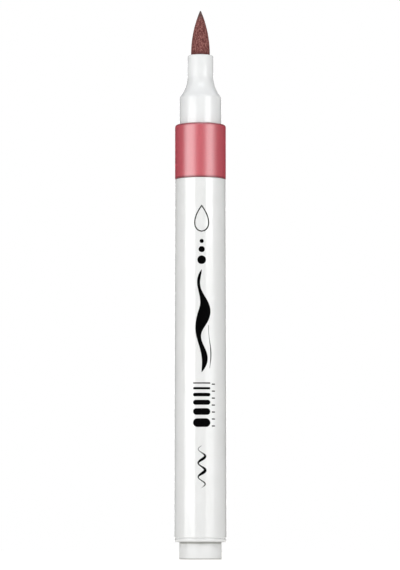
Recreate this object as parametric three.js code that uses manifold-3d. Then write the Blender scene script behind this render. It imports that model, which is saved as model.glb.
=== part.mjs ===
// A fibre-reservoir brush marker, uncapped and standing on its tail plug, tip up.
// Millimetres. The pen's axis is +Z and z = 0 is the flat end of the tail plug.
//
// From the tail up: a push-fit tail plug, a barrel whose reduced neck carries a coloured band,
// and a front section that plugs into the neck. Inside, a film-wrapped fibre reservoir stands on
// the plug's webs and feeds the shank of a pointed brush nib, gripped by a holder in the section.
// Each piece is modelled from its own seat at z = 0 and then placed at its height on the pen.

import * as THREE from "three";
import { mergeVertices } from "three/addons/utils/BufferGeometryUtils.js";
import Module from "manifold-3d";

const wasm = await Module();
wasm.setup();

// Tail plug
const STUB_LENGTH = 4.1; // stub that a posted cap slides onto
const STUB_STEP = 1.12; // shoulder from the flange in to the stub
const STUB_DRAFT = 0.07; // the stub widens by this towards the tail
const TAIL_ROUND = 0.35; // edge of the tail face
const GATE_RADIUS = 0.9; // moulding gate recess in the tail face
const GATE_DEPTH = 0.3;
const PLUG_FLANGE = 1.05;
const PLUG_FLANGE_INSET = 0.06; // the flange is this much smaller than the barrel
const PLUG_SPIGOT_LENGTH = 7.5; // part of the plug inside the barrel
const PLUG_FLOOR = 1.3; // closed end of the plug
const PLUG_WALL = 1;
const PLUG_LEAD = 0.3; // lead-in at the spigot's mouth
const PLUG_WEBS = 4; // arms of the cross that the reservoir stands on
const PLUG_WEB_THICKNESS = 0.8;
const CRUSH_RIBS = 8; // on the spigot
const CRUSH_RIB_WIDTH = 0.5;
const CRUSH_RIB_HEIGHT = 0.12;

// Barrel
const BARREL_LENGTH = 88.05; // from the plug's flange to the band
const BARREL_REAR_RADIUS = 6.35;
const BARREL_FRONT_RADIUS = 6.21;
const BARREL_WALL = 1;
const NECK_WALL = 0.65;
const NECK_ROOT = 0.8; // the bore is narrow this far below the neck
const BORE_TAPER = 2; // length over which the bore narrows to the neck
const BARREL_RIBS = 6; // they centre the reservoir and leave air channels
const BARREL_RIB_THICKNESS = 0.7;
const BARREL_RIB_SETBACK = 3; // from the plug and from the bore's taper to the rib ends

// Coloured band
const BAND_LENGTH = 13.7;
const BAND_WALL = 0.56;
const BAND_LIP = 1.4; // inward lip at the top, which the cap's rim stops on
const BAND_ROUND = 0.6;

// Front section
const SECTION_SPIGOT_LENGTH = 8; // part of the section inside the neck
const SECTION_SPIGOT_WALL = 0.62;
const SECTION_FLANGE = 1.8; // trapped between the neck and the band's lip
const CAP_SEAT_LENGTH = 6.85; // cylinder above the band that the cap grips
const CAP_SEAT_STEP = 1.02; // shoulder from the band in to the cap seat
const CAP_SEAT_TAPER = 0.09; // the cap seat narrows by this towards the nib
const SHOULDER_ROUND = 0.35; // corner between the cap seat and the flare
const FLARE_RADIUS = 8.13; // concave arc from the cap seat up to the collar
const COLLAR_LENGTH = 5.4;
const COLLAR_WALL = 0.825;
const COLLAR_ROUND = 0.42;
const LEDGE_RISE = 0.5; // from the band's top to the ledge that stops the holder
const LEDGE_WIDTH = 0.28;
const SECTION_RIBS = 6; // they centre the holder and leave air channels
const SECTION_RIB_THICKNESS = 0.6;
const VENTS = 3; // grooves in the collar's bore, for the air that replaces the ink
const VENT_WIDTH = 0.6;
const VENT_DEPTH = 0.25;

// Nib and its holder
const NIB_REACH = 11; // nib outside the collar
const NIB_RADIUS = 2.27;
const NIB_FULLNESS = 2.1; // how late the ogive starts to narrow
const NIB_BLUNTNESS = 0.94; // below 1 the point is slightly round
const NIB_SEAT_DEPTH = 3.3; // nib head inside the collar, down to its shoulder
const NIB_DIP = 6.5; // shank inside the reservoir
const HOLDER_WALL = 0.55;
const HOLDER_FLANGE = 0.9; // foot flange, which stops under the section's ledge
const NOTCH_WIDTH = 0.9; // air notches in the holder's flange
const NOTCH_DEPTH = 0.5;

// Reservoir
const FILM_THICKNESS = 0.12;
const RESERVOIR_GAP = 0.22; // from the film to the section's cavity

// Snap beads: each ring has a matching groove in the piece around it
const SNAP_HEIGHT = 0.12;
const SNAP_WIDTH = 1.2;
const BAND_SNAP_DROP = 2.4; // below the neck's top, between neck and band
const SECTION_SNAP_DROP = 5.6; // below the neck's top, between spigot and neck

// Clearances
const PRESS_GAP = 0.03; // radial, between pieces that are pressed together
const SEAT_GAP = 0.1; // axial, where one piece traps another
const SLIDE_GAP = 0.08; // radial, round what slides in or out

// Mesh
const SEGMENTS = 48; // round the axis
const EDGE_STEPS = 3; // round an edge
const ARC_STEPS = 7; // along the flare
const NIB_STEPS = 15; // along the nib's point
const EDGE_ROUND = 0.18; // small moulded edges
const WELD = 0.2; // how far a rib is sunk into the wall that carries it

// Radii, from the outside in
const bandBore = BARREL_FRONT_RADIUS - BAND_WALL;
const neckRadius = bandBore - PRESS_GAP;
const neckBore = neckRadius - NECK_WALL;
const spigotRadius = neckBore - PRESS_GAP;
const cavityRadius = spigotRadius - SECTION_SPIGOT_WALL;
const ledgeRadius = cavityRadius - LEDGE_WIDTH;
const filmRadius = cavityRadius - RESERVOIR_GAP;
const filmBore = filmRadius - FILM_THICKNESS;
const rearBore = BARREL_REAR_RADIUS - BARREL_WALL;
const frontBore = BARREL_FRONT_RADIUS - BARREL_WALL;
const seatFootRadius = BARREL_FRONT_RADIUS - CAP_SEAT_STEP;
const seatTopRadius = seatFootRadius - CAP_SEAT_TAPER;
const nibBore = NIB_RADIUS + SLIDE_GAP;
const collarRadius = nibBore + COLLAR_WALL;
const holderRadius = nibBore - PRESS_GAP;
const holderBore = holderRadius - HOLDER_WALL;
const shankRadius = holderBore - SLIDE_GAP;

// Places in the front section's own frame, whose zero is its seat on the neck
const seatFoot = SECTION_FLANGE + SEAT_GAP + BAND_LIP;
const seatTop = seatFoot + CAP_SEAT_LENGTH;
const flareStep = seatTopRadius - collarRadius;
const collarFoot = seatTop + Math.sqrt((2 * FLARE_RADIUS - flareStep) * flareStep);
const collarTop = collarFoot + COLLAR_LENGTH;
const ledge = seatFoot + LEDGE_RISE;
const betweenRibs = Math.PI / SECTION_RIBS; // turn from a rib to the air channel beside it

// Heights on the pen
const barrelSeat = STUB_LENGTH + PLUG_FLANGE;
const reservoirSeat = barrelSeat + PLUG_SPIGOT_LENGTH;
const bandSeat = barrelSeat + BARREL_LENGTH;
const neckLength = BAND_LENGTH - seatFoot;
const sectionSeat = bandSeat + neckLength;
const holderSeat = sectionSeat + ledge - HOLDER_FLANGE;
const nibSeat = sectionSeat + collarTop - NIB_SEAT_DEPTH;
const reservoirTop = holderSeat - SEAT_GAP;
const reservoirLength = reservoirTop - reservoirSeat;
const shankLength = nibSeat - reservoirTop + NIB_DIP;

// Rounds the corners [radius, height, optional rounding] of a closed outline.
function rounded(corners) {
  const path = new THREE.Path();
  corners.forEach(([radius, height, round = 0], i) => {
    const corner = new THREE.Vector2(radius, height);
    const along = (step) => {
      const next = corners[(i + step + corners.length) % corners.length];
      const side = new THREE.Vector2(next[0], next[1]).sub(corner);
      return side.setLength(Math.min(round, side.length() / 2)).add(corner);
    };
    const start = along(-1);
    const end = along(1);
    if (i === 0) path.moveTo(start.x, start.y);
    else path.lineTo(start.x, start.y);
    if (round > 0) path.quadraticCurveTo(corner.x, corner.y, end.x, end.y);
  });
  path.closePath();
  return path.getPoints(EDGE_STEPS);
}

// Turns an outline of Vector2 points about +Z.
function revolve(points) {
  return new THREE.LatheGeometry(points, SEGMENTS).rotateX(Math.PI / 2);
}

// Manifold solids, for joining and cutting
function toSolid(geometry) {
  const bare = geometry.clone();
  bare.deleteAttribute("normal");
  bare.deleteAttribute("uv");
  const merged = mergeVertices(bare);
  return new wasm.Manifold(
    new wasm.Mesh({
      numProp: 3,
      vertProperties: merged.attributes.position.array,
      triVerts: new Uint32Array(merged.index.array),
    }),
  );
}

function toGeometry(solid) {
  const { vertProperties, triVerts } = solid.getMesh();
  const geometry = new THREE.BufferGeometry();
  geometry.setAttribute("position", new THREE.BufferAttribute(vertProperties, 3));
  geometry.setIndex(new THREE.BufferAttribute(triVerts, 1));
  geometry.computeVertexNormals();
  return geometry;
}

function join(geometry, additions) {
  return toGeometry(additions.reduce((sum, solid) => sum.add(solid), toSolid(geometry)));
}

function cut(geometry, tools) {
  return toGeometry(tools.reduce((rest, tool) => rest.subtract(tool), toSolid(geometry)));
}

// Plates that stand on the axis: an outline in radius and height, given a thickness.
function plates(count, corners, thickness, turn = 0) {
  const outline = new THREE.Shape(corners.map(([radius, height]) => new THREE.Vector2(radius, height)));
  const plate = new THREE.ExtrudeGeometry(outline, { depth: thickness, bevelEnabled: false })
    .translate(0, 0, -thickness / 2)
    .rotateX(Math.PI / 2);
  return Array.from({ length: count }, (_, i) =>
    toSolid(plate.clone().rotateZ(turn + (2 * Math.PI * i) / count)),
  );
}

function rectangle(inner, outer, bottom, top) {
  return [
    [inner, bottom],
    [outer, bottom],
    [outer, top],
    [inner, top],
  ];
}

// A ring bead on a wall, from its foot up; the groove that takes it is the same ring.
function snapRing(wallRadius, height) {
  return [
    [wallRadius, height - SNAP_WIDTH / 2],
    [wallRadius + SNAP_HEIGHT, height - SNAP_WIDTH / 4],
    [wallRadius + SNAP_HEIGHT, height + SNAP_WIDTH / 4],
    [wallRadius, height + SNAP_WIDTH / 2],
  ];
}

// Tail plug: a closed cup with a stub, a flange and a ribbed spigot; zero at its flat end
function tailPlug() {
  const flangeRadius = BARREL_REAR_RADIUS - PLUG_FLANGE_INSET;
  const stubRadius = flangeRadius - STUB_STEP;
  const plugRadius = rearBore - PRESS_GAP - CRUSH_RIB_HEIGHT;
  const plugBore = plugRadius - PLUG_WALL;
  const outline = rounded([
    [0, GATE_DEPTH],
    [GATE_RADIUS, GATE_DEPTH],
    [GATE_RADIUS, 0],
    [stubRadius + STUB_DRAFT, 0, TAIL_ROUND],
    [stubRadius, STUB_LENGTH],
    [flangeRadius, STUB_LENGTH, EDGE_ROUND],
    [flangeRadius, barrelSeat, EDGE_ROUND],
    [plugRadius, barrelSeat],
    [plugRadius, reservoirSeat, PLUG_LEAD],
    [plugBore, reservoirSeat],
    [plugBore, PLUG_FLOOR],
    [0, PLUG_FLOOR],
  ]);
  outline.pop();
  const webs = plates(
    PLUG_WEBS,
    rectangle(0, plugBore + WELD, PLUG_FLOOR - WELD, reservoirSeat),
    PLUG_WEB_THICKNESS,
  );
  const crushRibs = plates(
    CRUSH_RIBS,
    rectangle(
      plugRadius - WELD,
      plugRadius + CRUSH_RIB_HEIGHT,
      barrelSeat,
      reservoirSeat - PLUG_LEAD,
    ),
    CRUSH_RIB_WIDTH,
  );
  return join(revolve(outline), [...webs, ...crushRibs]);
}

// Barrel: a drafted tube, ribbed inside and reduced to a neck; zero at its rear end
function barrel() {
  const neckTop = BARREL_LENGTH + neckLength;
  const taperTop = Math.min(BARREL_LENGTH, neckTop - SECTION_SPIGOT_LENGTH) - NECK_ROOT;
  const taperFoot = taperTop - BORE_TAPER;
  const tube = revolve(
    rounded([
      [rearBore, 0],
      [BARREL_REAR_RADIUS, 0, EDGE_ROUND],
      [BARREL_FRONT_RADIUS, BARREL_LENGTH],
      [neckRadius, BARREL_LENGTH],
      ...snapRing(neckRadius, neckTop - BAND_SNAP_DROP),
      [neckRadius, neckTop, EDGE_ROUND],
      [neckBore, neckTop],
      ...snapRing(neckBore, neckTop - SECTION_SNAP_DROP).reverse(),
      [neckBore, taperTop],
      [frontBore, taperFoot],
      [rearBore, PLUG_SPIGOT_LENGTH + SEAT_GAP],
    ]),
  );
  const ribEdge = filmRadius + SLIDE_GAP;
  const ribFoot = PLUG_SPIGOT_LENGTH + BARREL_RIB_SETBACK;
  const ribTop = taperFoot - BARREL_RIB_SETBACK;
  const ribs = plates(
    BARREL_RIBS,
    [
      [ribEdge, ribFoot],
      [rearBore + WELD, ribFoot],
      [frontBore + WELD, ribTop],
      [ribEdge, ribTop],
    ],
    BARREL_RIB_THICKNESS,
  );
  return join(tube, ribs);
}

// Coloured band: a sleeve over the neck with an inward lip; zero at its lower end
function colourBand() {
  const lipBore = seatFootRadius + PRESS_GAP;
  return revolve(
    rounded([
      [bandBore, 0],
      [BARREL_FRONT_RADIUS, 0],
      [BARREL_FRONT_RADIUS, BAND_LENGTH, BAND_ROUND],
      [lipBore, BAND_LENGTH],
      [lipBore, BAND_LENGTH - BAND_LIP],
      [bandBore, BAND_LENGTH - BAND_LIP],
      ...snapRing(bandBore, neckLength - BAND_SNAP_DROP).reverse(),
    ]),
  );
}

// The flare's arc at a depth below the surface, from a foot radius up to the collar.
function flare(depth, footRadius) {
  const axisRadius = collarRadius + FLARE_RADIUS;
  const radius = FLARE_RADIUS + depth;
  const footAngle = Math.acos((axisRadius - footRadius) / radius);
  return Array.from({ length: ARC_STEPS + 1 }, (_, i) => {
    const angle = footAngle * (1 - i / ARC_STEPS);
    return [axisRadius - radius * Math.cos(angle), collarFoot - radius * Math.sin(angle)];
  });
}

// Front section: spigot, flange, cap seat, flare and collar in one wall; zero at its seat
function frontSection() {
  const [, ...flareAboveSeat] = flare(0, seatTopRadius);
  const shell = revolve(
    rounded([
      [cavityRadius, -SECTION_SPIGOT_LENGTH],
      [spigotRadius, -SECTION_SPIGOT_LENGTH, EDGE_ROUND],
      ...snapRing(spigotRadius, -SECTION_SNAP_DROP),
      [spigotRadius, 0],
      [neckRadius, 0],
      [neckRadius, SECTION_FLANGE],
      [seatFootRadius, SECTION_FLANGE],
      [seatFootRadius, seatFoot],
      [seatTopRadius, seatTop, SHOULDER_ROUND],
      ...flareAboveSeat,
      [collarRadius, collarTop, COLLAR_ROUND],
      [nibBore, collarTop, EDGE_ROUND],
      ...flare(COLLAR_WALL, ledgeRadius).reverse(),
      [ledgeRadius, ledge],
      [cavityRadius, ledge],
    ]),
  );
  const ribs = plates(
    SECTION_RIBS,
    [
      [nibBore, ledge],
      [ledgeRadius + WELD, ledge],
      ...flare(COLLAR_WALL - WELD, ledgeRadius + WELD),
      [nibBore, collarFoot],
    ],
    SECTION_RIB_THICKNESS,
  );
  const vents = plates(
    VENTS,
    rectangle(nibBore - VENT_DEPTH, nibBore + VENT_DEPTH, ledge, collarTop + VENT_DEPTH),
    VENT_WIDTH,
    betweenRibs,
  );
  return cut(join(shell, ribs), vents);
}

// Nib holder: a sleeve with a notched foot flange; zero at its lower end
function nibHolder() {
  const flangeRadius = cavityRadius - SLIDE_GAP;
  const top = nibSeat - holderSeat;
  const sleeve = revolve(
    rounded([
      [holderBore, 0],
      [flangeRadius, 0, EDGE_ROUND],
      [flangeRadius, HOLDER_FLANGE],
      [holderRadius, HOLDER_FLANGE],
      [holderRadius, top, EDGE_ROUND],
      [holderBore, top],
    ]),
  );
  const notches = plates(
    SECTION_RIBS,
    rectangle(flangeRadius - NOTCH_DEPTH, flangeRadius + WELD, -WELD, HOLDER_FLANGE + WELD),
    NOTCH_WIDTH,
    betweenRibs,
  );
  return cut(sleeve, notches);
}

// Brush nib: a full ogive of bonded fibre on a plain shank; zero at its shoulder
function brushNib() {
  const point = Array.from({ length: NIB_STEPS + 1 }, (_, i) => {
    const rise = Math.sin((Math.PI / 2) * (i / NIB_STEPS));
    const radius = NIB_RADIUS * (1 - rise ** NIB_FULLNESS) ** NIB_BLUNTNESS;
    return new THREE.Vector2(radius, NIB_SEAT_DEPTH + NIB_REACH * rise);
  });
  return revolve([
    new THREE.Vector2(0, -shankLength),
    new THREE.Vector2(shankRadius - EDGE_ROUND, -shankLength),
    new THREE.Vector2(shankRadius, EDGE_ROUND - shankLength),
    new THREE.Vector2(shankRadius, 0),
    new THREE.Vector2(NIB_RADIUS, 0),
    ...point,
  ]);
}

// Ink reservoir: a bonded-fibre rod with a socket for the nib's shank; zero at its foot
function inkReservoir() {
  const rodRadius = filmBore - PRESS_GAP;
  const socketRadius = shankRadius + SLIDE_GAP;
  const socketFloor = reservoirLength - NIB_DIP - SEAT_GAP;
  return revolve([
    new THREE.Vector2(0, 0),
    new THREE.Vector2(rodRadius, 0),
    new THREE.Vector2(rodRadius, reservoirLength),
    new THREE.Vector2(socketRadius, reservoirLength),
    new THREE.Vector2(socketRadius, socketFloor),
    new THREE.Vector2(0, socketFloor),
  ]);
}

// Reservoir film: a thin tube round the rod; zero at the rod's foot
function reservoirFilm() {
  return revolve(
    rounded([
      [filmBore, 0],
      [filmRadius, 0],
      [filmRadius, reservoirLength],
      [filmBore, reservoirLength],
    ]),
  );
}

const whitePlastic = new THREE.MeshStandardMaterial({
  color: 0xf2f3f2,
  roughness: 0.28,
  metalness: 0,
});
const naturalPlastic = new THREE.MeshStandardMaterial({
  color: 0xe6e9e8,
  roughness: 0.4,
  metalness: 0,
});
const metallicLacquer = new THREE.MeshStandardMaterial({
  color: 0xc9606b,
  roughness: 0.34,
  metalness: 0.75,
});
const inkedFibre = new THREE.MeshStandardMaterial({
  color: 0x7a4547,
  roughness: 0.85,
  metalness: 0,
});
const clearFilm = new THREE.MeshStandardMaterial({
  color: 0xdfe3e6,
  roughness: 0.15,
  metalness: 0,
});

const marker = new THREE.Group();

function place(name, geometry, material, height) {
  const mesh = new THREE.Mesh(geometry, material);
  mesh.name = name;
  mesh.position.z = height;
  marker.add(mesh);
}

place("tail_plug", tailPlug(), whitePlastic, 0);
place("barrel", barrel(), whitePlastic, barrelSeat);
place("colour_band", colourBand(), metallicLacquer, bandSeat);
place("front_section", frontSection(), naturalPlastic, sectionSeat);
place("nib_holder", nibHolder(), naturalPlastic, holderSeat);
place("brush_nib", brushNib(), inkedFibre, nibSeat);
place("ink_reservoir", inkReservoir(), inkedFibre, reservoirSeat);
place("reservoir_film", reservoirFilm(), clearFilm, reservoirSeat);

export default marker;
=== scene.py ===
import math

import bmesh
import bpy
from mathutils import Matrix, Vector


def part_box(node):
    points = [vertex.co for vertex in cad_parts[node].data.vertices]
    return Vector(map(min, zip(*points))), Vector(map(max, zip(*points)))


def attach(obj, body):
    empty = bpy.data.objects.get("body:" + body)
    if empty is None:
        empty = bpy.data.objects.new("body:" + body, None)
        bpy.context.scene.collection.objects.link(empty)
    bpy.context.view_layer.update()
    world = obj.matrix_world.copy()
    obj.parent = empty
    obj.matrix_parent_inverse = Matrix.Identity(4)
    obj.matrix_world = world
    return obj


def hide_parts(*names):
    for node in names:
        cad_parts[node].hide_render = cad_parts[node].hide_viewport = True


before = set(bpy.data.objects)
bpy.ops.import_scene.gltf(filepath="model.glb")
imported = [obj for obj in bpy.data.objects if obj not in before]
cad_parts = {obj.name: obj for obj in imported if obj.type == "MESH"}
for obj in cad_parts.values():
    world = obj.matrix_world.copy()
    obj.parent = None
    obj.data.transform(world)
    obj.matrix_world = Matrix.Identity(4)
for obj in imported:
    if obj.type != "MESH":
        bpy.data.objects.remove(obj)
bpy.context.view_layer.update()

# A fibre-reservoir brush marker, uncapped and standing on its tail plug. Lengths are in
# millimetres, counted from the tail's flat end, and become metres where a mesh is made.
MM = 0.001
TAU = 2 * math.pi


def span(node):
    """Foot, top and largest radius of a frame node, in millimetres."""
    low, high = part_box(node)
    return low.z / MM, high.z / MM, high.x / MM


# Sizes taken from the frame
barrel_foot, neck_top, rear_radius = span("barrel")
band_foot, band_top, front_radius = span("colour_band")
spigot_foot, collar_top, neck_radius = span("front_section")
tail_end, plug_top, flange_radius = span("tail_plug")
shank_foot, nib_tip, nib_radius = span("brush_nib")
holder_foot, nib_shoulder, holder_flange_radius = span("nib_holder")
rod_foot, rod_top, rod_radius = span("ink_reservoir")
film_foot, film_top, film_radius = span("reservoir_film")

# Walls, steps and bores that the boxes don't give
BARREL_WALL = 1.0
NECK_WALL = 0.65
NECK_ROOT = 0.8
BORE_TAPER = 2.0
STUB_LENGTH = 4.1
STUB_STEP = 1.12
STUB_DRAFT = 0.07
GATE_RADIUS = 0.9
GATE_DEPTH = 0.3
PLUG_FLOOR = 1.3
PLUG_WALL = 1.0
PLUG_LEAD = 0.3
BAND_LIP = 1.4
SPIGOT_WALL = 0.62
CAP_SEAT_STEP = 1.07
CAP_SEAT_TAPER = 0.03
CAP_SEAT_LENGTH = 6.85
COLLAR_LENGTH = 5.4
COLLAR_WALL = 0.825
COLLAR_DRAFT = 0.012
LEDGE_RISE = 0.5
LEDGE_WIDTH = 0.28
HOLDER_FLANGE = 0.9
HOLDER_WALL = 0.55
FILM_THICKNESS = 0.12
PRESS_GAP = 0.03
SLIDE_GAP = 0.08
SEAT_GAP = 0.1

# Ribs, vents and webs; a root is how far one reaches into the wall that carries it
RIB_COUNT = 6
RIB_WIDTH = 0.7
RIB_ROOT = 0.5
RIB_SETBACK = 3
VENT_COUNT = 3
VENT_WIDTH = 0.6
VENT_DEPTH = 0.25
VENT_TURN = TAU / 12
CRUSH_RIB_COUNT = 8
CRUSH_RIB_WIDTH = 0.5
CRUSH_RIB_HEIGHT = 0.12
WEB_THICKNESS = 0.8
PLUG_ROOT = 0.2

# Edge roundings
BAND_ROUND = 0.6
BAND_FOOT_ROUND = 0.1
COLLAR_ROUND = 0.42
SHOULDER_ROUND = 0.35
TAIL_ROUND = 0.24
EDGE_ROUND = 0.18
JOINT_ROUND = 0.08
PLUG_ROUND = 0.07
RIM_ROUND = 0.06

# Small departures from the frame, measured in the photograph
REAR_SWELL = 0.05
BAND_SWELL = 0.05
NIB_SWELL = 0.045
SHOULDER_LIFT = 0.13
BAND_LIFT = 0.23
FLANGE_LIFT = 0.1
PLUG_SEAM = 0.03
COLLAR_SHORTFALL = 0.2

# The nib: its ogive aims past the tip by the trim, and a ball of the tip's radius ends it. A
# ruffle is a name, a strength and a grain along each axis, and fades towards both ends.
NIB_FULLNESS = 2.1
TIP_RADIUS = 0.17
TIP_TRIM = 0.26
RUFFLE_FADE_FOOT = 0.4
RUFFLE_FADE_TIP = 1.2
RUFFLES = (("strands", 0.05, (0.35, 0.35, 2.6)), ("tufts", 0.035, (0.55, 0.55, 0.9)))

rear_bore = rear_radius - BARREL_WALL
front_bore = front_radius - BARREL_WALL
neck_bore = neck_radius - NECK_WALL
spigot_radius = neck_bore - PRESS_GAP
cavity_radius = spigot_radius - SPIGOT_WALL
ledge_radius = cavity_radius - LEDGE_WIDTH
seat_foot_radius = front_radius - CAP_SEAT_STEP
seat_top_radius = seat_foot_radius - CAP_SEAT_TAPER
seat_top = band_top + CAP_SEAT_LENGTH
nib_bore = nib_radius + SLIDE_GAP
holder_radius = nib_bore - PRESS_GAP
holder_bore = holder_radius - HOLDER_WALL
collar_radius = nib_bore + COLLAR_WALL
collar_foot = collar_top - COLLAR_LENGTH
stub_radius = flange_radius - STUB_STEP
stub_top = STUB_LENGTH + FLANGE_LIFT

# Mesh fineness: the smooth angle is in degrees and the merge distance in metres
TURN_STEPS = 144
NIB_TURN_STEPS = 224
OGIVE_STEPS = 110
TIP_STEPS = 6
FLARE_STEPS = 20
EDGE_SEGMENTS = 4
SMOOTH_ANGLE = 35
MERGE_DISTANCE = 1e-7


def pick(*pieces):
    """Selects these objects alone, and makes the first one active."""
    bpy.ops.object.select_all(action="DESELECT")
    for piece in pieces:
        piece.select_set(True)
    if pieces:
        bpy.context.view_layer.objects.active = pieces[0]


def named_piece(name):
    """Names the object that was just added, and returns it."""
    piece = bpy.context.active_object
    piece.name = name
    piece.data.name = name
    return piece


def apply_modifiers(piece):
    """Applies every modifier of a piece, in order."""
    pick(piece)
    for modifier in list(piece.modifiers):
        bpy.ops.object.modifier_apply(modifier=modifier.name)


def face_outwards():
    """Turns the faces of the piece in edit mode outwards, and leaves edit mode."""
    bpy.ops.mesh.select_all(action="SELECT")
    bpy.ops.mesh.normals_make_consistent(inside=False)
    bpy.ops.object.mode_set(mode="OBJECT")


def merge_doubles():
    """Merges the vertices that lie on each other in the piece in edit mode."""
    bpy.ops.mesh.select_all(action="SELECT")
    bpy.ops.mesh.remove_doubles(threshold=MERGE_DISTANCE)


def round_corner(piece, corner):
    """Bevels the outline's vertex at a corner given as radius, height and rounding."""
    radius, height, rounding = corner
    place = Vector((radius * MM, 0, height * MM))
    bpy.ops.mesh.select_all(action="DESELECT")
    drawn = bmesh.from_edit_mesh(piece.data)
    nearest = min(drawn.verts, key=lambda vertex: (vertex.co - place).length)
    nearest.select = True
    drawn.select_flush_mode()
    bmesh.update_edit_mesh(piece.data)
    bpy.ops.mesh.bevel(offset=rounding * MM, segments=EDGE_SEGMENTS, affect="VERTICES")


def turned(name, corners, closed=True, steps=TURN_STEPS):
    """Draws an outline of (radius, height, optional rounding) corners and spins it."""
    pick()
    bpy.ops.mesh.primitive_plane_add(size=MM)
    piece = named_piece(name)
    bpy.ops.object.mode_set(mode="EDIT")
    bpy.ops.mesh.merge(type="CENTER")
    bpy.ops.transform.translate(value=(corners[0][0] * MM, 0, corners[0][1] * MM))
    route = corners[1:] + corners[:1] if closed else corners[1:]
    last = corners[0]
    for corner in route:
        step = ((corner[0] - last[0]) * MM, 0, (corner[1] - last[1]) * MM)
        bpy.ops.mesh.extrude_vertices_move(TRANSFORM_OT_translate={"value": step})
        last = corner
    merge_doubles()
    for corner in corners:
        if len(corner) == 3:
            round_corner(piece, corner)
    bpy.ops.mesh.select_all(action="SELECT")
    bpy.ops.mesh.spin(steps=steps, angle=TAU, center=(0, 0, 0), axis=(0, 0, 1))
    merge_doubles()
    face_outwards()
    bpy.ops.object.shade_smooth_by_angle(angle=math.radians(SMOOTH_ANGLE))
    weighting = piece.modifiers.new("Even shading", "WEIGHTED_NORMAL")
    weighting.keep_sharp = True
    apply_modifiers(piece)
    return piece


def block(name, inner, outer, width, bottom, top):
    """A box that stands out from the axis along +X."""
    pick()
    centre = ((inner + outer) / 2 * MM, 0, (bottom + top) / 2 * MM)
    size = ((outer - inner) * MM, width * MM, (top - bottom) * MM)
    bpy.ops.mesh.primitive_cube_add(size=1, location=centre, scale=size)
    bpy.ops.object.transform_apply(location=True, rotation=True, scale=True)
    return named_piece(name)


def turn_about_axis(piece, angle):
    """Turns a piece about the pen's axis, in its mesh."""
    pick(piece)
    piece.rotation_euler.z = angle
    bpy.ops.object.transform_apply(location=False, rotation=True, scale=False)


def ring_of(piece, count, first_turn=0.0):
    """Copies a block evenly round the axis and joins the copies into it."""
    copies = [piece]
    while len(copies) < count:
        pick(piece)
        bpy.ops.object.duplicate()
        copies.append(bpy.context.active_object)
    for index, copy in enumerate(copies):
        turn_about_axis(copy, first_turn + TAU * index / count)
    pick(*copies)
    bpy.ops.object.join()
    return piece


def carve(piece, tool, operation):
    """Adds a tool to a piece or cuts it out, and deletes the tool."""
    modifier = piece.modifiers.new(operation.title(), "BOOLEAN")
    modifier.operation = operation
    modifier.object = tool
    modifier.solver = "EXACT"
    modifier.use_self = True
    apply_modifiers(piece)
    bpy.data.objects.remove(tool)


class Nodes:
    """A node tree, emptied first, and a way to add nodes whose sockets are set at once."""

    def __init__(self, tree):
        self.tree = tree
        self.tree.nodes.clear()

    def add(self, kind, settings=None, **inputs):
        """Adds a node; underscores in a socket's name stand for spaces."""
        node = self.tree.nodes.new(kind)
        for attribute, value in (settings or {}).items():
            setattr(node, attribute, value)
        for socket, value in inputs.items():
            self.feed(node, socket.replace("_", " "), value)
        return node

    def feed(self, node, socket, value):
        """Sets a socket, by its name or number, to a constant, or links an output to it."""
        if isinstance(value, bpy.types.NodeSocket):
            self.tree.links.new(value, node.inputs[socket])
        else:
            node.inputs[socket].default_value = value

    def combine(self, kind, first, second, settings=None):
        """Adds a node that makes one output of its first two sockets."""
        node = self.add(kind, settings)
        self.feed(node, 0, first)
        self.feed(node, 1, second)
        return node.outputs[0]

    def remap(self, value, old, new):
        """Moves a value from one range to another, clamped."""
        node = self.add("ShaderNodeMapRange", Value=value)
        for socket, end in zip(("From Min", "From Max", "To Min", "To Max"), (*old, *new)):
            self.feed(node, socket, end)
        return node.outputs["Result"]


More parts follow.
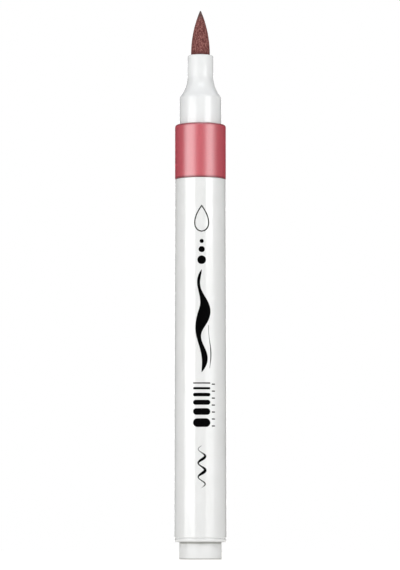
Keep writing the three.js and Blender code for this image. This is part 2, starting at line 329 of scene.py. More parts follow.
class Finish(Nodes):
    """A material with one Principled shader, and patterns that feed it.

    Its colour and gloss hold the outputs that a look laid over a first one starts from.
    """

    colour = None
    gloss = None

    def __init__(self, name, **constants):
        self.material = bpy.data.materials.new(name)
        self.material.use_nodes = True
        super().__init__(self.material.node_tree)
        self.shader = self.add("ShaderNodeBsdfPrincipled", **constants)
        self.add("ShaderNodeOutputMaterial", Surface=self.shader.outputs["BSDF"])
        self.place = self.add("ShaderNodeTexCoord").outputs["Object"]

    def set(self, socket, value):
        """Sets or links a socket of the shader."""
        self.feed(self.shader, socket, value)

    def height(self):
        """The height over the tail's end, in metres."""
        return self.add("ShaderNodeSeparateXYZ", Vector=self.place).outputs["Z"]

    def stretched(self, across, along):
        """Object coordinates, with one scale across the pen and one along it."""
        scale = (across, across, along)
        return self.add("ShaderNodeMapping", Vector=self.place, Scale=scale).outputs["Vector"]

    def noise(self, vector, scale=1.0, detail=2.0, roughness=0.5):
        """A noise value from 0 to 1."""
        sockets = {"Vector": vector, "Scale": scale, "Detail": detail, "Roughness": roughness}
        return self.add("ShaderNodeTexNoise", **sockets).outputs["Fac"]

    def ramp(self, value, stops):
        """A colour ramp through (position, colour) stops."""
        node = self.add("ShaderNodeValToRGB", Fac=value)
        elements = node.color_ramp.elements
        while len(elements) < len(stops):
            elements.new(0.5)
        for element, (position, colour) in zip(elements, stops):
            element.position = position
            element.color = (*colour, 1)
        return node.outputs["Color"]

    def mask(self, value, stops):
        """A ramp of greys through (position, level) stops."""
        return self.ramp(value, [(position, (level,) * 3) for position, level in stops])

    def lay_over(self, colour, factor, cover):
        """Lays a plain colour over a colour output, by a factor."""
        node = self.add("ShaderNodeMix", {"data_type": "RGBA"}, Factor=factor)
        first, second = [socket for socket in node.inputs if socket.type == "RGBA"]
        self.tree.links.new(colour, first)
        second.default_value = (*cover, 1)
        return next(socket for socket in node.outputs if socket.type == "RGBA")

    def bump(self, height, strength, distance, below=None):
        """A bump from a height value, laid over an earlier bump; the distance is in metres."""
        node = self.add("ShaderNodeBump", Height=height, Strength=strength, Distance=distance)
        if below is not None:
            self.feed(node, "Normal", below)
        return node.outputs["Normal"]


# Plastics: light and shade, roughness, and the clouds' stops. Noise mostly lies in its span.
NOISE_SPAN = (0.3, 0.7)
CLOUD_STOPS = (0.35, 0.62)
BARREL_WHITE = ((0.872, 0.879, 0.883), (0.848, 0.856, 0.857))
BARREL_ROUGHNESS = 0.085
NOSE_WHITE = ((0.88, 0.893, 0.902), (0.86, 0.875, 0.882))
NOSE_ROUGHNESS = 0.1
GLOSS_LOSS = 0.03
GLOSS_GAIN = 0.02

# The stub: a border this high on each side, and painted shade as (share of the span, amount)
# stops
STUB_ROUGHNESS = 0.32
STUB_BORDER = 0.02
STUB_PAINTED_SHADE = (0.42, 0.42, 0.4)
PAINTED_SHADE_SPAN = 5
PAINTED_SHADE_STOPS = ((0.02, 0.8), (0.07, 0.0), (0.73, 0.0), (0.79, 1.0), (0.845, 0.7), (0.9, 0.0))

# The lacquer: flakes as (position, colour) stops, clouds, and painted shade at the foot and the
# rim as (distance from the foot or the rim, share) pairs. There the clear coat thins from its
# first weight to its second.
FLAKES = ((0.0, (0.555, 0.058, 0.093)), (0.6, (0.63, 0.071, 0.111)), (1.0, (0.75, 0.108, 0.152)))
FLAKES_PER_METRE = 16000.0
LACQUER_CLOUD = (0.57, 0.066, 0.103)
LACQUER_CLOUDING = ((0.4, 0.7), (0.0, 0.3))
LACQUER_PAINTED_SHADE = (0.18, 0.025, 0.034)
FOOT_PAINTED_SHADE = ((0.43, 0.65), (0.78, 0.0))
RIM_PAINTED_SHADE = ((0.55, 0.0), (0.2, 0.7))
EDGE_SPAN = (0.0, 0.9)
COAT_WEIGHTS = (0.74, 0.35)

# Fibres: grains in features per metre, and streaks, strands and glints that are finer or
# longer than the grain by a factor. Their ranges turn a noise into a share of a colour.
STREAK_LENGTHWISE = 0.45
STREAK_STOPS = (0.36, 0.5, 0.62)
STRAND_FINENESS = 3.2
STRAND_LENGTHWISE = 0.3
STRAND_SHARES = ((0.5, 0.64), (0.0, 0.45))
GLINT_FINENESS = 1.6
GLINT_SHARES = ((0.56, 0.68), (0.0, 0.6))
GLINT_ROUGHNESS = ((0.5, 0.75), (0.9, 0.5))
NIB_FIBRE = ((0.07, 0.02, 0.02), (0.2, 0.068, 0.064), (0.42, 0.19, 0.17))
NIB_GRAIN = 3600.0
ROD_FIBRE = ((0.2, 0.07, 0.075), (0.34, 0.13, 0.14), (0.5, 0.24, 0.25))
ROD_GRAIN = 4200.0

# The nib's dark tip, which starts and ends so far below the tip, and painted shade over the
# collar, which fades out so far above it
NIB_DARK_TIP = (0.1, 0.085, 0.083)
DARK_TIP_DROPS = (2.6, 0.4)
DARK_TIP_SHARES = (0.0, 0.9)
COLLAR_SHADE_RISE = 0.9
COLLAR_SHADE_SHARES = (0.0, 0.6)

# The print's ink and the reservoir's film, with colours as (position, colour) stops
INK_BLACK = ((0.35, (0.0024, 0.0024, 0.0026)), (0.75, (0.0009, 0.0009, 0.001)))
INK_ROUGHNESS = (0.34, 0.5)
FILM_TINTS = ((0.3, (0.7, 0.74, 0.78)), (0.7, (0.86, 0.88, 0.9)))
FILM_ROUGHNESS = (0.12, 0.3)


def moulded_plastic(name, light, shade, roughness, depth=0.08):
    """Glossy polypropylene: faint clouds, mould drawing lines and a fine orange peel."""
    finish = Finish(
        name,
        IOR=1.49,
        Subsurface_Weight=depth,
        Subsurface_Scale=0.0012,
        Subsurface_Radius=(1.0, 1.0, 0.95),
    )
    cloud = finish.noise(finish.place, scale=150.0, detail=4.0)
    finish.colour = finish.ramp(cloud, list(zip(CLOUD_STOPS, (shade, light))))
    finish.set("Base Color", finish.colour)
    smear = finish.noise(finish.stretched(across=900.0, along=40.0), detail=3.0)
    glosses = (roughness - GLOSS_GAIN, roughness + GLOSS_LOSS)
    finish.gloss = finish.remap(smear, NOISE_SPAN, glosses)
    finish.set("Roughness", finish.gloss)
    lines = finish.noise(finish.stretched(across=2600.0, along=24.0))
    peel = finish.noise(finish.place, scale=1700.0)
    relief = finish.bump(lines, strength=0.05, distance=0.00004)
    relief = finish.bump(peel, strength=0.05, distance=0.00005, below=relief)
    finish.set("Normal", relief)
    return finish


def plug_plastic():
    """The barrel's plastic with a spark-eroded stub, and painted shade under the flange and at
    the foot.
    """
    finish = moulded_plastic("plug_plastic", *BARREL_WHITE, BARREL_ROUGHNESS)
    height = finish.height()
    border = ((stub_top + STUB_BORDER) * MM, (stub_top - STUB_BORDER) * MM)
    stub = finish.remap(height, border, (0.0, 1.0))
    finish.set("Roughness", finish.remap(stub, (0.0, 1.0), (finish.gloss, STUB_ROUGHNESS)))
    # Painted shade: a shadow under the flange and a darker foot where the plug stands on the
    # floor
    painted_shade = finish.mask(finish.remap(height, (0, PAINTED_SHADE_SPAN * MM), (0.0, 1.0)), PAINTED_SHADE_STOPS)
    finish.set("Base Color", finish.lay_over(finish.colour, painted_shade, STUB_PAINTED_SHADE))
    return finish


def metallic_lacquer():
    """Satin lacquer full of flakes under a pearly clear coat, with painted shade at its foot and
    rim.
    """
    finish = Finish(
        "band_lacquer",
        Metallic=0.96,
        Roughness=0.8,
        Specular_IOR_Level=0.0,
        Specular_Tint=(0.0, 0.0, 0.0, 1),
        Coat_Roughness=0.346,
        Coat_IOR=2.6,
    )
    flakes = finish.add(
        "ShaderNodeTexVoronoi", {"feature": "F1"}, Vector=finish.place, Scale=FLAKES_PER_METRE
    )
    channels = finish.add("ShaderNodeSeparateColor", Color=flakes.outputs["Color"])
    colour = finish.ramp(channels.outputs["Red"], FLAKES)
    cloud = finish.noise(finish.stretched(across=260.0, along=90.0), detail=3.0)
    clouding = finish.remap(cloud, *LACQUER_CLOUDING)
    colour = finish.lay_over(colour, clouding, LACQUER_CLOUD)
    # Painted shade: the lacquer darkens and its coat thins towards the foot and the rim
    length = band_top - band_foot
    stops = [(rise / length, share) for rise, share in FOOT_PAINTED_SHADE]
    stops += [(1 - drop / length, share) for drop, share in RIM_PAINTED_SHADE]
    along = finish.remap(finish.height(), (band_foot * MM, band_top * MM), (0.0, 1.0))
    painted_edge_shade = finish.mask(along, stops)
    finish.set("Base Color", finish.lay_over(colour, painted_edge_shade, LACQUER_PAINTED_SHADE))
    finish.set("Coat Weight", finish.remap(painted_edge_shade, EDGE_SPAN, COAT_WEIGHTS))
    relief = finish.bump(channels.outputs["Green"], strength=0.06, distance=0.00003)
    finish.set("Normal", relief)
    return finish


def inked_fibre(name, deep, middle, bright, grain, dark_tip=None):
    """Bonded fibre soaked with a metallic ink: streaks along the fibres and small glints."""
    finish = Finish(name, IOR=1.4, Specular_IOR_Level=0.06)
    place = finish.stretched(across=grain, along=grain * STREAK_LENGTHWISE)
    streaks = finish.noise(place, detail=4.0, roughness=0.7)
    colour = finish.ramp(streaks, list(zip(STREAK_STOPS, (deep, middle, bright))))
    place = finish.stretched(across=grain * STRAND_FINENESS, along=grain * STRAND_LENGTHWISE)
    strands = finish.noise(place, detail=3.0)
    colour = finish.lay_over(colour, finish.remap(strands, *STRAND_SHARES), deep)
    glints = finish.noise(finish.place, scale=grain * GLINT_FINENESS)
    colour = finish.lay_over(colour, finish.remap(glints, *GLINT_SHARES), bright)
    if dark_tip:
        height = finish.height()
        span_below_tip = [(nib_tip - drop) * MM for drop in DARK_TIP_DROPS]
        tip = finish.remap(height, span_below_tip, DARK_TIP_SHARES)
        colour = finish.lay_over(colour, tip, dark_tip)
        # Painted shade on the nib just above the collar's rim
        span_over_collar = ((collar_top + COLLAR_SHADE_RISE) * MM, collar_top * MM)
        foot = finish.remap(height, span_over_collar, COLLAR_SHADE_SHARES)
        colour = finish.lay_over(colour, foot, deep)
    finish.set("Base Color", colour)
    finish.set("Roughness", finish.remap(glints, *GLINT_ROUGHNESS))
    relief = finish.bump(strands, strength=0.5, distance=0.00004)
    relief = finish.bump(streaks, strength=0.6, distance=0.0001, below=relief)
    finish.set("Normal", relief)
    return finish


def printing_ink():
    """Black pad-printed ink: satin, with a slightly uneven film."""
    finish = Finish("printing_ink", IOR=1.45, Specular_IOR_Level=0.012)
    cover = finish.noise(finish.place, scale=2400.0, detail=3.0)
    finish.set("Base Color", finish.ramp(cover, INK_BLACK))
    finish.set("Roughness", finish.remap(cover, NOISE_SPAN, INK_ROUGHNESS))
    finish.set("Normal", finish.bump(cover, strength=0.15, distance=0.00001))
    return finish


def wrapping_film():
    """Thin clear film with lengthwise shimmer."""
    finish = Finish("wrapping_film", IOR=1.5, Transmission_Weight=0.55)
    shimmer = finish.noise(finish.stretched(across=700.0, along=30.0))
    finish.set("Base Color", finish.ramp(shimmer, FILM_TINTS))
    finish.set("Roughness", finish.remap(shimmer, NOISE_SPAN, FILM_ROUGHNESS))
    finish.set("Normal", finish.bump(shimmer, strength=0.2, distance=0.00004))
    return finish


white_plastic = moulded_plastic("barrel_plastic", *BARREL_WHITE, BARREL_ROUGHNESS)
natural_plastic = moulded_plastic("nose_plastic", *NOSE_WHITE, NOSE_ROUGHNESS, depth=0.12)
stub_plastic = plug_plastic()
lacquer = metallic_lacquer()
nib_fibre = inked_fibre("brush_fibre", *NIB_FIBRE, NIB_GRAIN, dark_tip=NIB_DARK_TIP)
rod_fibre = inked_fibre("reservoir_wadding", *ROD_FIBRE, ROD_GRAIN)
ink_print = printing_ink()
film_plastic = wrapping_film()


def dress(piece, finish, body, node):
    """Gives a piece its material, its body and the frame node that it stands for."""
    piece.data.materials.clear()
    piece.data.materials.append(finish.material)
    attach(piece, body)
    if node:
        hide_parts(node)
    return piece


def white_barrel():
    """The drafted tube with its reduced neck, and the ribs that centre the reservoir."""
    shoulder = band_foot + SHOULDER_LIFT
    taper_top = band_foot - NECK_ROOT
    taper_foot = taper_top - BORE_TAPER
    tube = turned(
        "white_barrel",
        [
            (rear_bore, barrel_foot, RIM_ROUND),
            (rear_radius + REAR_SWELL, barrel_foot, EDGE_ROUND),
            (front_radius, shoulder, JOINT_ROUND),
            (neck_radius, shoulder),
            (neck_radius, neck_top, EDGE_ROUND),
            (neck_bore, neck_top),
            (neck_bore, taper_top),
            (front_bore, taper_foot),
            (rear_bore, plug_top + SEAT_GAP),
        ],
    )
    rib = block(
        "rib",
        film_radius + SLIDE_GAP,
        front_bore + RIB_ROOT,
        RIB_WIDTH,
        plug_top + RIB_SETBACK,
        taper_foot - RIB_SETBACK,
    )
    carve(tube, ring_of(rib, RIB_COUNT), "UNION")
    return dress(tube, white_plastic, "pen_body", "barrel")


def metallic_band():
    """The lacquered sleeve over the neck, rounded above and with its lip inside."""
    foot = band_foot + BAND_LIFT
    radius = front_radius + BAND_SWELL
    lip_bore = seat_foot_radius + PRESS_GAP
    bore = neck_radius + PRESS_GAP
    band = turned(
        "metallic_band",
        [
            (bore, foot),
            (radius, foot, BAND_FOOT_ROUND),
            (radius, band_top, BAND_ROUND),
            (lip_bore, band_top, RIM_ROUND),
            (lip_bore, band_top - BAND_LIP),
            (bore, band_top - BAND_LIP),
        ],
    )
    return dress(band, lacquer, "pen_body", "colour_band")


def flare(depth, foot_radius):
    """Points on the concave arc from a foot radius up to the collar, a depth under the skin."""
    rise = collar_foot - seat_top
    step = seat_top_radius - collar_radius
    flare_radius = (rise * rise + step * step) / (2 * step)
    axis_radius = collar_radius + flare_radius
    radius = flare_radius + depth
    foot_angle = math.acos((axis_radius - foot_radius) / radius)
    points = []
    for index in range(FLARE_STEPS + 1):
        angle = foot_angle * (1 - index / FLARE_STEPS)
        height = collar_foot - radius * math.sin(angle)
        points.append((axis_radius - radius * math.cos(angle), height))
    return points


def nose_section():
    """The stepped white section: flange, cap seat, flare and the collar round the nib."""
    ledge = band_top + LEDGE_RISE
    flange_top = band_top - BAND_LIP - SEAT_GAP
    rim_top = collar_top - COLLAR_SHORTFALL
    section = turned(
        "nose_section",
        [
            (cavity_radius, spigot_foot),
            (spigot_radius, spigot_foot, EDGE_ROUND),
            (spigot_radius, neck_top),
            (neck_radius, neck_top),
            (neck_radius, flange_top),
            (seat_foot_radius, flange_top),
            (seat_foot_radius, band_top),
            (seat_top_radius, seat_top, SHOULDER_ROUND),
            *flare(0, seat_top_radius)[1:-1],
            (collar_radius + COLLAR_DRAFT, collar_foot),
            (collar_radius - COLLAR_DRAFT, rim_top, COLLAR_ROUND),
            (nib_bore, rim_top, EDGE_ROUND),
            *reversed(flare(COLLAR_WALL, ledge_radius)),
            (ledge_radius, ledge),
            (cavity_radius, ledge),
        ],
    )
    vent = block(
        "vent",
        nib_bore - VENT_DEPTH,
        nib_bore + VENT_DEPTH,
        VENT_WIDTH,
        ledge,
        collar_top + VENT_DEPTH,
    )
    carve(section, ring_of(vent, VENT_COUNT, first_turn=VENT_TURN), "DIFFERENCE")
    return dress(section, natural_plastic, "pen_body", "front_section")


def ruffle(nib, name, strength, grain):
    """Displaces the free part of the nib by a cloud pattern of a grain along each axis."""
    free = nib.vertex_groups.get("free") or nib.vertex_groups.new(name="free")
    for vertex in nib.data.vertices:
        rise = vertex.co.z / MM - collar_top
        drop = nib_tip - collar_top - rise
        share = max(0.0, min(1.0, rise / RUFFLE_FADE_FOOT, drop / RUFFLE_FADE_TIP))
        free.add([vertex.index], share, "REPLACE")
    pick()
    bpy.ops.object.empty_add(location=(0, 0, 0))
    stretch = bpy.context.active_object
    stretch.scale = [size * MM for size in grain]
    bpy.context.view_layer.update()
    clouds = bpy.data.textures.new(name, "CLOUDS")
    clouds.noise_scale = 1.0
    clouds.noise_depth = 2
    relief = nib.modifiers.new(name, "DISPLACE")
    relief.texture = clouds
    relief.texture_coords = "OBJECT"
    relief.texture_coords_object = stretch
    relief.vertex_group = "free"
    relief.strength = strength * MM
    relief.mid_level = 0.5
    apply_modifiers(nib)
    bpy.data.objects.remove(stretch)


def nib_outline():
    """Points on the nib's free part: an ogive that runs into the ball at the tip."""
    foot_radius = nib_radius + NIB_SWELL
    length = nib_tip + TIP_TRIM - collar_top
    lean = math.atan(NIB_FULLNESS * foot_radius / length)
    ball_foot = nib_tip - TIP_RADIUS * (1 - math.sin(lean))
    points = []
    for index in range(OGIVE_STEPS + 1):
        rise = math.sin(math.pi / 2 * index / OGIVE_STEPS)
        height = collar_top + length * rise
        if height > ball_foot:
            break
        points.append((foot_radius * (1 - rise**NIB_FULLNESS), height))
    for index in range(TIP_STEPS + 1):
        turn = lean + (math.pi / 2 - lean) * index / TIP_STEPS
        height = nib_tip - TIP_RADIUS * (1 - math.sin(turn))
        points.append((TIP_RADIUS * math.cos(turn), height))
    return points


def brush_tip():
    """The nib: a full ogive of bonded fibre whose strands show as fine lengthwise ridges."""
    shank_radius = holder_bore - SLIDE_GAP
    nib = turned(
        "brush_tip",
        [
            (0, shank_foot),
            (shank_radius, shank_foot, EDGE_ROUND),
            (shank_radius, nib_shoulder),
            (nib_radius, nib_shoulder, RIM_ROUND),
            *nib_outline(),
        ],
        closed=False,
        steps=NIB_TURN_STEPS,
    )
    for name, strength, grain in RUFFLES:
        ruffle(nib, name, strength, grain)
    return dress(nib, nib_fibre, "nib", "brush_nib")


def nib_sleeve():
    """The holder that grips the shank, with its foot flange."""
    sleeve = turned(
        "nib_sleeve",
        [
            (holder_bore, holder_foot),
            (holder_flange_radius, holder_foot, EDGE_ROUND),
            (holder_flange_radius, holder_foot + HOLDER_FLANGE),
            (holder_radius, holder_foot + HOLDER_FLANGE),
            (holder_radius, nib_shoulder, EDGE_ROUND),
            (holder_bore, nib_shoulder, RIM_ROUND),
        ],
    )
    return dress(sleeve, natural_plastic, "pen_body", "nib_holder")


def fibre_rod():
    """The reservoir's rod, with the socket for the shank."""
    rod = turned(
        "fibre_rod",
        [
            (0, rod_foot),
            (rod_radius, rod_foot, EDGE_ROUND),
            (rod_radius, rod_top, EDGE_ROUND),
            (holder_bore, rod_top, RIM_ROUND),
            (holder_bore, shank_foot - SEAT_GAP),
            (0, shank_foot - SEAT_GAP),
        ],
        closed=False,
    )
    return dress(rod, rod_fibre, "pen_body", "ink_reservoir")


def rod_film():
    """The film round the rod."""
    film = turned(
        "rod_film",
        [
            (film_radius - FILM_THICKNESS, film_foot),
            (film_radius, film_foot),
            (film_radius, film_top),
            (film_radius - FILM_THICKNESS, film_top),
        ],
    )
    return dress(film, film_plastic, "pen_body", "reservoir_film")


def end_plug():
    """The tail plug: gate recess, stub, flange, ribbed spigot and the cross inside."""
    crush_radius = rear_bore - PRESS_GAP
    plug_radius = crush_radius - CRUSH_RIB_HEIGHT
    plug_bore = plug_radius - PLUG_WALL
    rim_radius = flange_radius + REAR_SWELL
    rim_top = barrel_foot - PLUG_SEAM
    plug = turned(
        "end_plug",
        [
            (0, tail_end + GATE_DEPTH),
            (GATE_RADIUS, tail_end + GATE_DEPTH, RIM_ROUND),
            (GATE_RADIUS, tail_end, RIM_ROUND),
            (stub_radius + STUB_DRAFT, tail_end, TAIL_ROUND),
            (stub_radius, stub_top),
            (rim_radius, stub_top, PLUG_ROUND),
            (rim_radius, rim_top, PLUG_ROUND),
            (plug_radius, rim_top),
            (plug_radius, plug_top, PLUG_LEAD),
            (plug_bore, plug_top, RIM_ROUND),
            (plug_bore, PLUG_FLOOR),
            (0, PLUG_FLOOR),
        ],
        closed=False,
    )
    crush_rib = block(
        "crush",
        plug_radius - PLUG_ROOT,
        crush_radius,
        CRUSH_RIB_WIDTH,
        barrel_foot,
        plug_top - PLUG_LEAD,
    )
    carve(plug, ring_of(crush_rib, CRUSH_RIB_COUNT), "UNION")
    reach = plug_bore + PLUG_ROOT
    for turn in (0, TAU / 4):
        web = block("web", -reach, reach, WEB_THICKNESS, PLUG_FLOOR - PLUG_ROOT, plug_top)
        turn_about_axis(web, turn)
        carve(plug, web, "UNION")
    return dress(plug, stub_plastic, "end_plug", "tail_plug")


# Generic print on the barrel: flat shapes wrapped onto it. The strips are the facets that
# follow the curve, and the side is how far right of the middle the print stands.
PRINT_LIFT = 0.012
PRINT_THICKNESS = 0.02
PRINT_STRIP = 0.3
PRINT_SIDE = 0.3

# The marks, from the top down; a dot is its height and its radius
DROP = {"middle": 83.2, "length": 6.6, "width": 3.9}
DROP_LINE = 0.28
DROP_FULLNESS = 0.6
DROP_TAPER = 0.9
DOTS = ((77.6, 0.5), (75.6, 0.75), (73.0, 1.05))
BRUSH_STROKE = {"bottom": 45.5, "top": 70.6, "sway": 0.75, "waves": 2.0, "width": 3.1}
HAIR_STROKE = {"bottom": 46.5, "top": 57.0, "sway": 0.3, "waves": 0.8, "width": 0.3, "side": 1.95}
GAUGE_TOP = 43.0
GAUGE_LENGTH = 4.2
GAUGE_GAP = 0.85
GAUGE_LINES = (0.3, 0.55, 0.85, 1.2, 1.6, 2.1)
TICK_TOP = 42.6
TICK_STEP = 1.7
TICK_COUNT = 7
TICK = {"length": 0.8, "thickness": 0.28, "side": 2.85}
RIPPLE = {"bottom": 17.4, "top": 27.6, "sway": 0.85, "waves": 3.0, "width": 0.78}

# A stroke's width: its mean and swing under the brush's pressure, which lags behind the sway,
# the taper to its ends and the least half width
PRESS_MEAN = 0.68
PRESS_SWING = 0.32
PRESS_LAG = 0.8
STROKE_TAPER = 0.7
HAIRLINE = 0.04


def flat_mark(outline, line=None):
    """A flat shape in front of the barrel, from (across, height) points, or its rim alone."""
    pick()
    bpy.ops.mesh.primitive_circle_add(vertices=len(outline), radius=MM, fill_type="NGON")
    mark = named_piece("mark")
    bpy.ops.object.mode_set(mode="EDIT")
    shape = bmesh.from_edit_mesh(mark.data)
    shape.verts.ensure_lookup_table()
    for vertex, (across, height) in zip(shape.verts, outline):
        vertex.co = Vector(((across + PRINT_SIDE) * MM, -2 * rear_radius * MM, height * MM))
    shape.normal_update()
    bmesh.update_edit_mesh(mark.data)
    bpy.ops.mesh.select_all(action="SELECT")
    if line:
        bpy.ops.mesh.inset(thickness=line * MM, use_even_offset=False)
        bpy.ops.mesh.delete(type="ONLY_FACE")
    reach = max(abs(across) for across, _ in outline) + PRINT_SIDE
    cuts = int(reach / PRINT_STRIP)
    for index in range(-cuts, cuts + 1):
        bpy.ops.mesh.select_all(action="SELECT")
        bpy.ops.mesh.bisect(plane_co=(index * PRINT_STRIP * MM, 0, 0), plane_no=(1, 0, 0))
    bpy.ops.object.mode_set(mode="OBJECT")
    return mark


def drop_outline(middle, length, width, points=56):
    """A drop with its point up."""
    outline = []
    for index in range(points):
        angle = TAU * index / points
        across = width * DROP_FULLNESS * math.sin(angle) * math.sin(angle / 2) ** DROP_TAPER
        outline.append((across, middle + length / 2 * math.cos(angle)))
    return outline


def stroke_outline(bottom, top, sway, waves, width, side=0.0, points=96):
    """A brush stroke that swells in its middle and sways from side to side."""
    right, left = [], []
    for index in range(points + 1):
        share = index / points
        phase = TAU * waves * share
        height = bottom + (top - bottom) * share
        slope = sway * TAU * waves / (top - bottom) * math.cos(phase)
        press = PRESS_MEAN + PRESS_SWING * math.sin(phase + PRESS_LAG)
        half = max(width / 2 * math.sin(math.pi * share) ** STROKE_TAPER * press, HAIRLINE)
        across = half / math.hypot(1, slope)
        middle = side + sway * math.sin(phase)
        right.append((middle + across, height - across * slope))
        left.append((middle - across, height + across * slope))
    return right + left[::-1]


def bar_outline(middle, length, thickness, side=0.0, corner_points=12):
    """A bar across the barrel with round ends."""
    outline = []
    radius = thickness / 2
    for end in (1, -1):
        for index in range(corner_points + 1):
            angle = math.pi * (index / corner_points - 0.5)
            across = side + end * (length / 2 - radius + radius * math.cos(angle))
            outline.append((across, middle + end * radius * math.sin(angle)))
    return outline


def dot_outline(middle, radius, points=40):
    """A round dot."""
    turns = [TAU * index / points for index in range(points)]
    return [(radius * math.cos(turn), middle + radius * math.sin(turn)) for turn in turns]


def barrel_print(barrel):
    """A drop, dots, a brush stroke, a gauge of line widths and a ripple, all plain shapes."""
    marks = [flat_mark(drop_outline(**DROP), line=DROP_LINE)]
    for middle, radius in DOTS:
        marks.append(flat_mark(dot_outline(middle, radius)))
    for stroke in (BRUSH_STROKE, HAIR_STROKE):
        marks.append(flat_mark(stroke_outline(**stroke)))
    top = GAUGE_TOP
    for thickness in GAUGE_LINES:
        marks.append(flat_mark(bar_outline(top - thickness / 2, GAUGE_LENGTH, thickness)))
        top -= thickness + GAUGE_GAP
    for index in range(TICK_COUNT):
        marks.append(flat_mark(bar_outline(TICK_TOP - TICK_STEP * index, **TICK)))
    marks.append(flat_mark(stroke_outline(**RIPPLE)))
    pick(*marks)
    bpy.ops.object.join()
    printed = named_piece("barrel_print")
    wrap = printed.modifiers.new("Wrap", "SHRINKWRAP")
    wrap.target = barrel
    wrap.wrap_method = "PROJECT"
    wrap.use_project_y = True
    wrap.use_positive_direction = True
    wrap.offset = PRINT_LIFT * MM
    film = printed.modifiers.new("Film", "SOLIDIFY")
    film.thickness = PRINT_THICKNESS * MM
    film.offset = 0
    apply_modifiers(printed)
    bpy.ops.object.mode_set(mode="EDIT")
    face_outwards()
    return dress(printed, ink_print, "pen_body", None)


barrel = white_barrel()
metallic_band()
nose_section()
brush_tip()
nib_sleeve()
fibre_rod()
rod_film()
end_plug()
barrel_print(barrel)


# Camera, fitted to the photograph's outlines and ring ellipses: metres and degrees, pixels for
# the focal length and the frame, and millimetres for the sensor
CAMERA_DISTANCE = 0.8146
CAMERA_HEIGHT = 0.00318
CAMERA_SIDE = -0.00011
CAMERA_TILT = 4.5
CAMERA_CLIP = 0.01
FOCAL_PIXELS = 3320
FRAME_HEIGHT = 570
SENSOR = 36

# Studio: metres from the pen and over the floor, and azimuths in degrees from the camera's
# side to the right. A strip is a lighter band just in front of its card.
STUDIO_RADIUS = 1.5
STRIP_RADIUS = 1.45
AIM_HEIGHT = 0.07
AMBIENT = 0.38
FLOOR_SIZE = 2.0
FLOOR_COLOUR = (0.87, 0.86, 0.825)
FLOOR_GLOW = 0.38
CARD_HEIGHTS = (-0.4, 1.2)
STRIP_HEIGHTS = (0.32, 0.42)

# Lamps: name, azimuth, spread, foot, top and radiance
LAMPS = (
    ("left_box", -49, 50, -0.01, 0.347, 3.9),
    ("right_box", 42.5, 35, 0.21, 0.35, 5.2),
    ("right_dim_box", 43, 38, 0.0, 0.205, 2.4),
    ("front_fill", 4, 50, 0.9, 1.6, 3.5),
    ("rear_box", 180, 16, -0.01, 0.35, 3.5),
    ("rear_fill", 180, 70, 0.9, 1.7, 3.4),
)

# Cards: name, azimuth, spread, and the shades of the card and of its strip
CARDS = (
    ("front", 0, 46, 0.15, 0.9),
    ("left_side", -105, 58, 0.03, 0.85),
    ("right_side", 102, 52, 0.03, 0.85),
    ("left_edge", -152, 36, 0.0, 0.15),
    ("right_edge", 149, 42, 0.0, 0.15),
)


def photo_camera():
    """The camera that takes the photograph's view."""
    lens = bpy.data.cameras.new("photo_camera")
    lens.sensor_fit = "VERTICAL"
    lens.sensor_height = SENSOR
    lens.lens = FOCAL_PIXELS * SENSOR / FRAME_HEIGHT
    lens.clip_start = CAMERA_CLIP
    camera = bpy.data.objects.new("photo_camera", lens)
    camera.location = (CAMERA_SIDE, -CAMERA_DISTANCE, CAMERA_HEIGHT)
    camera.rotation_euler = (math.radians(90 + CAMERA_TILT), 0, 0)
    bpy.context.scene.collection.objects.link(camera)
    bpy.context.scene.camera = camera


def seen_by_the_view(nodes):
    """1 where the camera looks directly, in a mirror or through glass, and 0 for other light."""
    path = nodes.add("ShaderNodeLightPath")
    total = path.outputs["Is Camera Ray"]
    for name in ("Is Glossy Ray", "Is Transmission Ray"):
        larger = {"operation": "MAXIMUM"}
        total = nodes.combine("ShaderNodeMath", total, path.outputs[name], larger)
    return total


def matt_card(name, colour, glow):
    """A matt material, with a glow that only the view and its reflections see."""
    material = bpy.data.materials.new(name)
    material.use_nodes = True
    nodes = Nodes(material.node_tree)
    matt = nodes.add("ShaderNodeBsdfDiffuse", Color=(*colour, 1))
    product = {"operation": "MULTIPLY"}
    level = nodes.combine("ShaderNodeMath", seen_by_the_view(nodes), glow, product)
    light = nodes.add("ShaderNodeEmission", Strength=level)
    both = nodes.combine("ShaderNodeAddShader", matt.outputs[0], light.outputs[0])
    nodes.add("ShaderNodeOutputMaterial", Surface=both)
    return material


def studio_floor():
    """A plain pale floor that keeps the object's shadow."""
    pick()
    bpy.ops.mesh.primitive_plane_add(size=FLOOR_SIZE)
    floor = bpy.context.active_object
    floor.name = "floor"
    floor.data.materials.append(matt_card("pale_floor", FLOOR_COLOUR, FLOOR_GLOW))


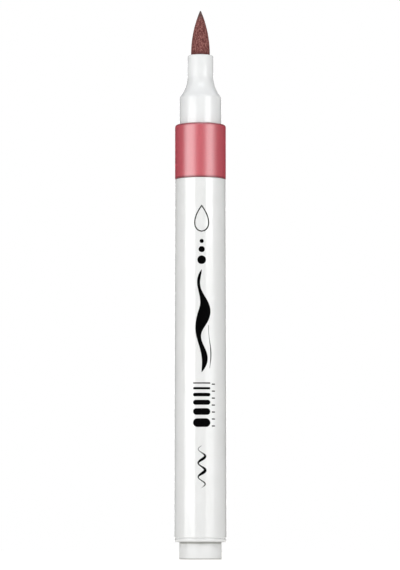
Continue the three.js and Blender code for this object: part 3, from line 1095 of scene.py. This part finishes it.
def studio_world():
    """White behind the object, and an even light from all round."""
    world = bpy.data.worlds.new("studio")
    world.use_nodes = True
    nodes = Nodes(world.node_tree)
    level = nodes.remap(seen_by_the_view(nodes), (0.0, 1.0), (AMBIENT, 1.0))
    background = nodes.add("ShaderNodeBackground", Color=(1, 1, 1, 1), Strength=level)
    nodes.add("ShaderNodeOutputWorld", Surface=background.outputs[0])
    bpy.context.scene.world = world


def facing_pen(azimuth, height, distance):
    """Where a lamp or card stands, and the turn that faces it to the pen."""
    turn = math.radians(azimuth)
    place = Vector((math.sin(turn) * distance, -math.cos(turn) * distance, height))
    aim = Vector((0, 0, AIM_HEIGHT)) - place
    return place, aim.to_track_quat("-Z", "Y").to_euler()


def softbox(name, azimuth, spread, low, high, radiance):
    """A rectangular lamp that covers a spread of degrees, between two heights."""
    width = 2 * STUDIO_RADIUS * math.tan(math.radians(spread / 2))
    lamp = bpy.data.lights.new(name, "AREA")
    lamp.shape = "RECTANGLE"
    lamp.size = width
    lamp.size_y = high - low
    lamp.energy = radiance * math.pi * width * (high - low)
    box = bpy.data.objects.new(name, lamp)
    box.location, box.rotation_euler = facing_pen(azimuth, (low + high) / 2, STUDIO_RADIUS)
    box.visible_camera = False
    bpy.context.scene.collection.objects.link(box)


def reflected_card(name, azimuth, spread, heights, shade, distance):
    """A card that only reflections see, so that it edges the pen without shading it."""
    low, high = heights
    width = 2 * distance * math.tan(math.radians(spread / 2))
    pick()
    place, turn = facing_pen(azimuth, (low + high) / 2, distance)
    bpy.ops.mesh.primitive_plane_add(size=1, location=place, rotation=turn)
    card = bpy.context.active_object
    card.name = name
    card.scale = (width, high - low, 1)
    card.data.materials.append(matt_card(name, (0.0, 0.0, 0.0), shade))
    card.visible_camera = False
    card.visible_diffuse = False
    card.visible_transmission = False
    card.visible_shadow = False


photo_camera()
studio_floor()
studio_world()
for lamp in LAMPS:
    softbox(*lamp)
for name, azimuth, spread, shade, strip_shade in CARDS:
    reflected_card(name + "_card", azimuth, spread, CARD_HEIGHTS, shade, STUDIO_RADIUS)
    reflected_card(name + "_strip", azimuth, spread, STRIP_HEIGHTS, strip_shade, STRIP_RADIUS)

bpy.context.scene.view_settings.view_transform = "Standard"
